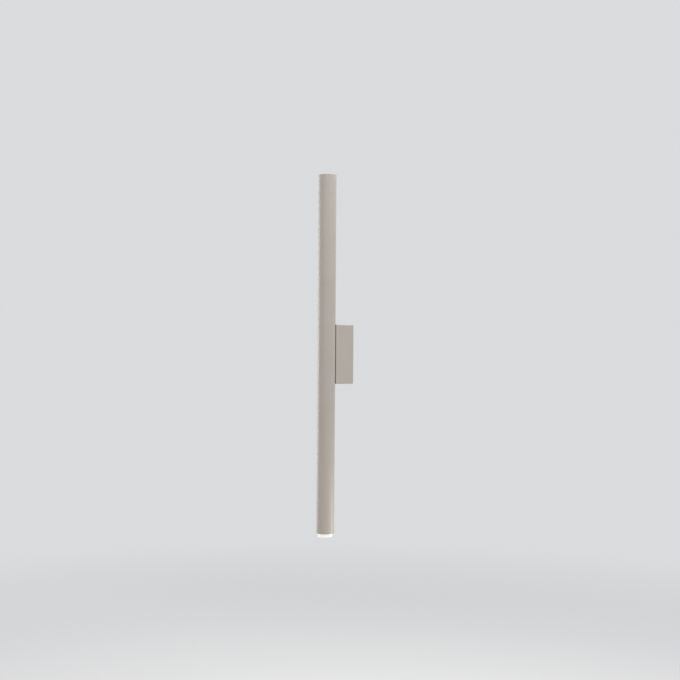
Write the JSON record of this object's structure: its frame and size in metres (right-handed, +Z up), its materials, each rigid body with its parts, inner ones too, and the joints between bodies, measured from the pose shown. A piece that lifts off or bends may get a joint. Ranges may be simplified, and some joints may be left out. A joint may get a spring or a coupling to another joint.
{
  "type": "tube wall light",
  "caption": "Slim round tube wall light that shines up and down, held off the wall by a small rectangular box on a screw-on bracket.",
  "frame": {"origin": "middle of the wall bracket's back face, on the wall", "axes": "+Z up along the tube, +Y into the wall, +X to the side of the box"},
  "size_m": [0.03, 0.066, 0.606],
  "materials": {
    "shell_paint": "satin, fine powder coat",
    "bracket_steel": "zinc plated, satin",
    "grommet_rubber": "matt",
    "dark_steel": "black oxide",
    "gasket_rubber": "matt silicone",
    "bare_aluminium": "turned",
    "zinc_steel": "bright zinc",
    "brass_fittings": "machined",
    "black_nylon": "moulded",
    "white_nylon": "moulded",
    "tinned_copper": "tinned",
    "driver_plastic": "moulded, fine texture",
    "board_green": "lacquered",
    "ferrite": "fired",
    "capacitor_can": "sleeved",
    "frosted_glass": "acid etched",
    "lens_acrylic": "moulded, lightly frosted, lit white",
    "seal_silicone": "translucent",
    "reflector_aluminium": "mirror bright",
    "board_white": "white lacquer",
    "chip_ceramic": "glazed",
    "phosphor": "satin",
    "brown_insulation": "extruded",
    "blue_insulation": "extruded",
    "green_yellow_insulation": "extruded, two colours",
    "red_insulation": "extruded",
    "white_insulation": "extruded",
    "black_insulation": "extruded"
  },
  "bodies": {
    "wall_plate": {"wall_bracket": "bracket_steel", "cable_grommet": "grommet_rubber"},
    "lamp": {"wall_box": "shell_paint", "tube_body": "shell_paint", "saddle_gasket": "gasket_rubber", "clamp_plate": "bare_aluminium", "saddle_screws": "zinc_steel", "wire_nipple": "brass_fittings", "nipple_washer": "zinc_steel", "nipple_nut": "brass_fittings", "nipple_bushes": "black_nylon", "terminal_housing": "white_nylon", "terminal_clamps": "brass_fittings", "terminal_screws": "zinc_steel", "terminal_fixing_screw": "zinc_steel", "earth_screw": "zinc_steel", "earth_tag": "tinned_copper", "driver_tray": "driver_plastic", "driver_cover": "driver_plastic", "driver_board": "board_green", "driver_terminals": "black_nylon", "driver_transformer": "ferrite", "driver_capacitors": "capacitor_can", "driver_choke": "ferrite", "driver_collars": "white_nylon", "live_lead": "brown_insulation", "neutral_lead": "blue_insulation", "earth_lead": "green_yellow_insulation", "upper_feed_lead": "red_insulation", "series_link_lead": "white_insulation", "lower_return_lead": "black_insulation", "upper_reflector": "reflector_aluminium", "upper_led_board": "board_white", "upper_led_board_screws": "zinc_steel", "upper_led_chip": "chip_ceramic", "upper_led_phosphor": "phosphor", "upper_heat_sink": "bare_aluminium", "lower_reflector": "reflector_aluminium", "lower_led_board": "board_white", "lower_led_board_screws": "zinc_steel", "lower_led_chip": "chip_ceramic", "lower_led_phosphor": "phosphor", "lower_heat_sink": "bare_aluminium"},
    "upper_lock": {"upper_lock_screw": "dark_steel"},
    "lower_lock": {"lower_lock_screw": "dark_steel"},
    "upper_lens_stack": {"upper_glass": "frosted_glass", "upper_seal": "seal_silicone"},
    "lower_lens_stack": {"lower_lens": "lens_acrylic", "lower_seal": "seal_silicone"},
    "upper_lens_ring": {"upper_ring": "shell_paint"},
    "lower_lens_ring": {"lower_ring": "shell_paint"}
  },
  "joints": [
    {"name": "lamp_off_bracket", "type": "slide", "parent": "wall_plate", "child": "lamp", "axis": [0, -1, 0], "range_m": [0, 0.05]},
    {"name": "upper_lock_travel", "type": "slide", "parent": "lamp", "child": "upper_lock", "axis": [0, 0, 1], "range_m": [0, 0.003]},
    {"name": "upper_lens_travel", "type": "slide", "parent": "lamp", "child": "upper_lens_stack", "axis": [0, 0, 1], "range_m": [0, 0.003]},
    {"name": "upper_ring_turn", "type": "hinge", "parent": "upper_lens_stack", "child": "upper_lens_ring", "pos_m": [0, -0.05102, 0.298], "axis": [0, 0, 1], "range_deg": [0, 1080]},
    {"name": "lower_lock_travel", "type": "slide", "parent": "lamp", "child": "lower_lock", "axis": [0, 0, -1], "range_m": [0, 0.003]},
    {"name": "lower_lens_travel", "type": "slide", "parent": "lamp", "child": "lower_lens_stack", "axis": [0, 0, -1], "range_m": [0, 0.003]},
    {"name": "lower_ring_turn", "type": "hinge", "parent": "lower_lens_stack", "child": "lower_lens_ring", "pos_m": [0, -0.05102, -0.298], "axis": [0, 0, -1], "range_deg": [0, 1080]}
  ],
  "couplings": [
    {"joint": "upper_lens_travel", "follows": "upper_ring_turn", "m_per_rad": 0.00015914},
    {"joint": "lower_lens_travel", "follows": "lower_ring_turn", "m_per_rad": 0.00015914}
  ]
}
